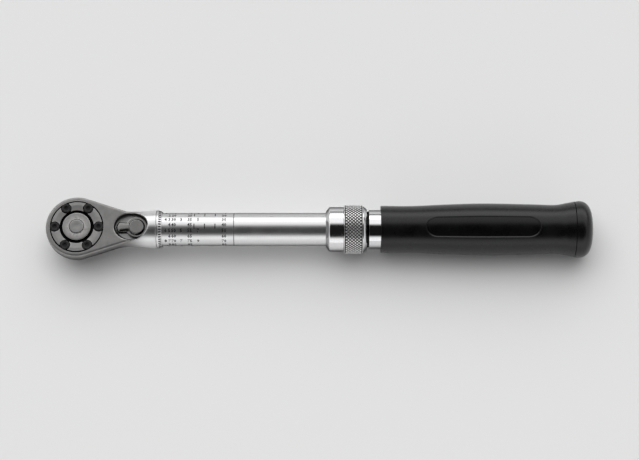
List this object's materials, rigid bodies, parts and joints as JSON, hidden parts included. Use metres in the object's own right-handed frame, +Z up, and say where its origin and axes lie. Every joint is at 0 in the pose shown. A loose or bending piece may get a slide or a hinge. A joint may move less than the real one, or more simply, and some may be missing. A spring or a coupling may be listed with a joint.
{
  "type": "torque wrench",
  "caption": "Click-type torque wrench with a reversible ratchet head on a square drive, a graduated tube, a sprung lock ring and a round moulded grip that turns to set the torque.",
  "frame": {"origin": "centre of the drive square's end face, which lies on the table", "axes": "+X along the wrench from the drive to the end of the grip, +Z up, opposite to the way the drive square points"},
  "size_m": [0.3565, 0.0404, 0.037],
  "materials": {
    "blasted_steel": "bead-blasted matte",
    "satin_chrome": "satin",
    "polished_chrome": "polished",
    "knurled_nickel": "fine diamond knurl, matte",
    "black_oxide": "blackened",
    "bright_steel": "ground",
    "spring_steel": "oiled",
    "bronze": "machined",
    "black_rubber": "satin moulded",
    "panel_plastic": "smooth inlay, bare"
  },
  "bodies": {
    "tube": {"tube": "satin_chrome", "pivot_pin": "bright_steel", "main_spring": "spring_steel", "adjusting_nut": "bronze", "nut_dowel": "bright_steel"},
    "head": {"ratchet_head": "blasted_steel", "cover_plate": "blasted_steel", "cover_screw_1": "black_oxide", "cover_screw_2": "black_oxide", "cover_screw_3": "black_oxide", "cover_screw_4": "black_oxide", "cover_screw_5": "black_oxide", "cover_screw_6": "black_oxide", "hub_seal": "black_rubber", "graduated_ring": "satin_chrome", "pawl_pin": "bright_steel"},
    "drive": {"drive_gear": "blasted_steel", "button_spring": "spring_steel"},
    "release": {"release_button": "blasted_steel"},
    "ball": {"drive_ball": "bright_steel"},
    "pawl_rocker": {"pawl": "bright_steel"},
    "lever": {"reversing_lever": "bright_steel", "lever_screw": "black_oxide", "pawl_plunger": "bright_steel", "pawl_spring": "spring_steel"},
    "block": {"tilt_block": "bright_steel"},
    "spring_plunger": {"plunger": "bright_steel"},
    "seat": {"spring_seat": "bright_steel", "thrust_ball": "bright_steel"},
    "handle": {"handle_sleeve": "polished_chrome", "thimble_collar": "polished_chrome", "adjusting_screw": "bright_steel", "handle_plug": "bright_steel", "handle_pin": "bright_steel", "grip": "black_rubber", "grip_panel": "panel_plastic", "end_cap": "black_rubber", "spring_retainer": "spring_steel", "lock_spring": "spring_steel", "lock_ball_1": "bright_steel", "lock_ball_2": "bright_steel", "lock_ball_3": "bright_steel"},
    "lock": {"lock_ring": "knurled_nickel", "lock_ring_cap": "polished_chrome"}
  },
  "joints": [
    {"name": "head_click", "type": "hinge", "parent": "tube", "child": "head", "pos_m": [0.06, 0, 0.0185], "axis": [0, 0, 1], "range_deg": [-2, 2], "stiffness_Nm_per_rad": 20},
    {"name": "drive_turn", "type": "hinge", "parent": "head", "child": "drive", "pos_m": [0, 0, 0.0185], "axis": [0, 0, 1], "continuous": true},
    {"name": "button_press", "type": "slide", "parent": "drive", "child": "release", "axis": [0, 0, -1], "range_m": [0, 0.0025], "stiffness_N_per_m": 600, "deforming": ["button_spring"]},
    {"name": "ball_retract", "type": "slide", "parent": "drive", "child": "ball", "axis": [0, 1, 0], "range_m": [0, 0.00071]},
    {"name": "lever_swing", "type": "hinge", "parent": "head", "child": "lever", "pos_m": [0.0389, 0, 0.0185], "axis": [0, 0, 1], "range_deg": [-20, 20]},
    {"name": "pawl_rock", "type": "hinge", "parent": "head", "child": "pawl_rocker", "pos_m": [0.0195, 0, 0.0185], "axis": [0, 0, 1], "range_deg": [-6, 6]},
    {"name": "block_tilt", "type": "hinge", "parent": "tube", "child": "block", "pos_m": [0.10845, 0, 0.0185], "axis": [0, 0, 1], "range_deg": [-10.2, 10.2]},
    {"name": "plunger_slide", "type": "slide", "parent": "tube", "child": "spring_plunger", "axis": [1, 0, 0], "range_m": [0, 0.0006], "stiffness_N_per_m": 3000, "deforming": ["main_spring"]},
    {"name": "handle_turn", "type": "hinge", "parent": "seat", "child": "handle", "pos_m": [0.1622, 0, 0.0185], "axis": [-1, 0, 0], "range_deg": [0, 4320]},
    {"name": "seat_slide", "type": "slide", "parent": "tube", "child": "seat", "axis": [-1, 0, 0], "range_m": [0, 0.01801], "deforming": ["main_spring"]},
    {"name": "lock_slide", "type": "slide", "parent": "handle", "child": "lock", "axis": [1, 0, 0], "range_m": [0, 0.003], "stiffness_N_per_m": 800, "deforming": ["lock_spring"]}
  ],
  "couplings": [
    {"joint": "ball_retract", "follows": "button_press", "ratio": 0.28},
    {"joint": "pawl_rock", "follows": "lever_swing", "ratio": -0.3},
    {"joint": "block_tilt", "follows": "head_click", "ratio": -5.056},
    {"joint": "seat_slide", "follows": "handle_turn", "m_per_rad": 0.00023873}
  ]
}
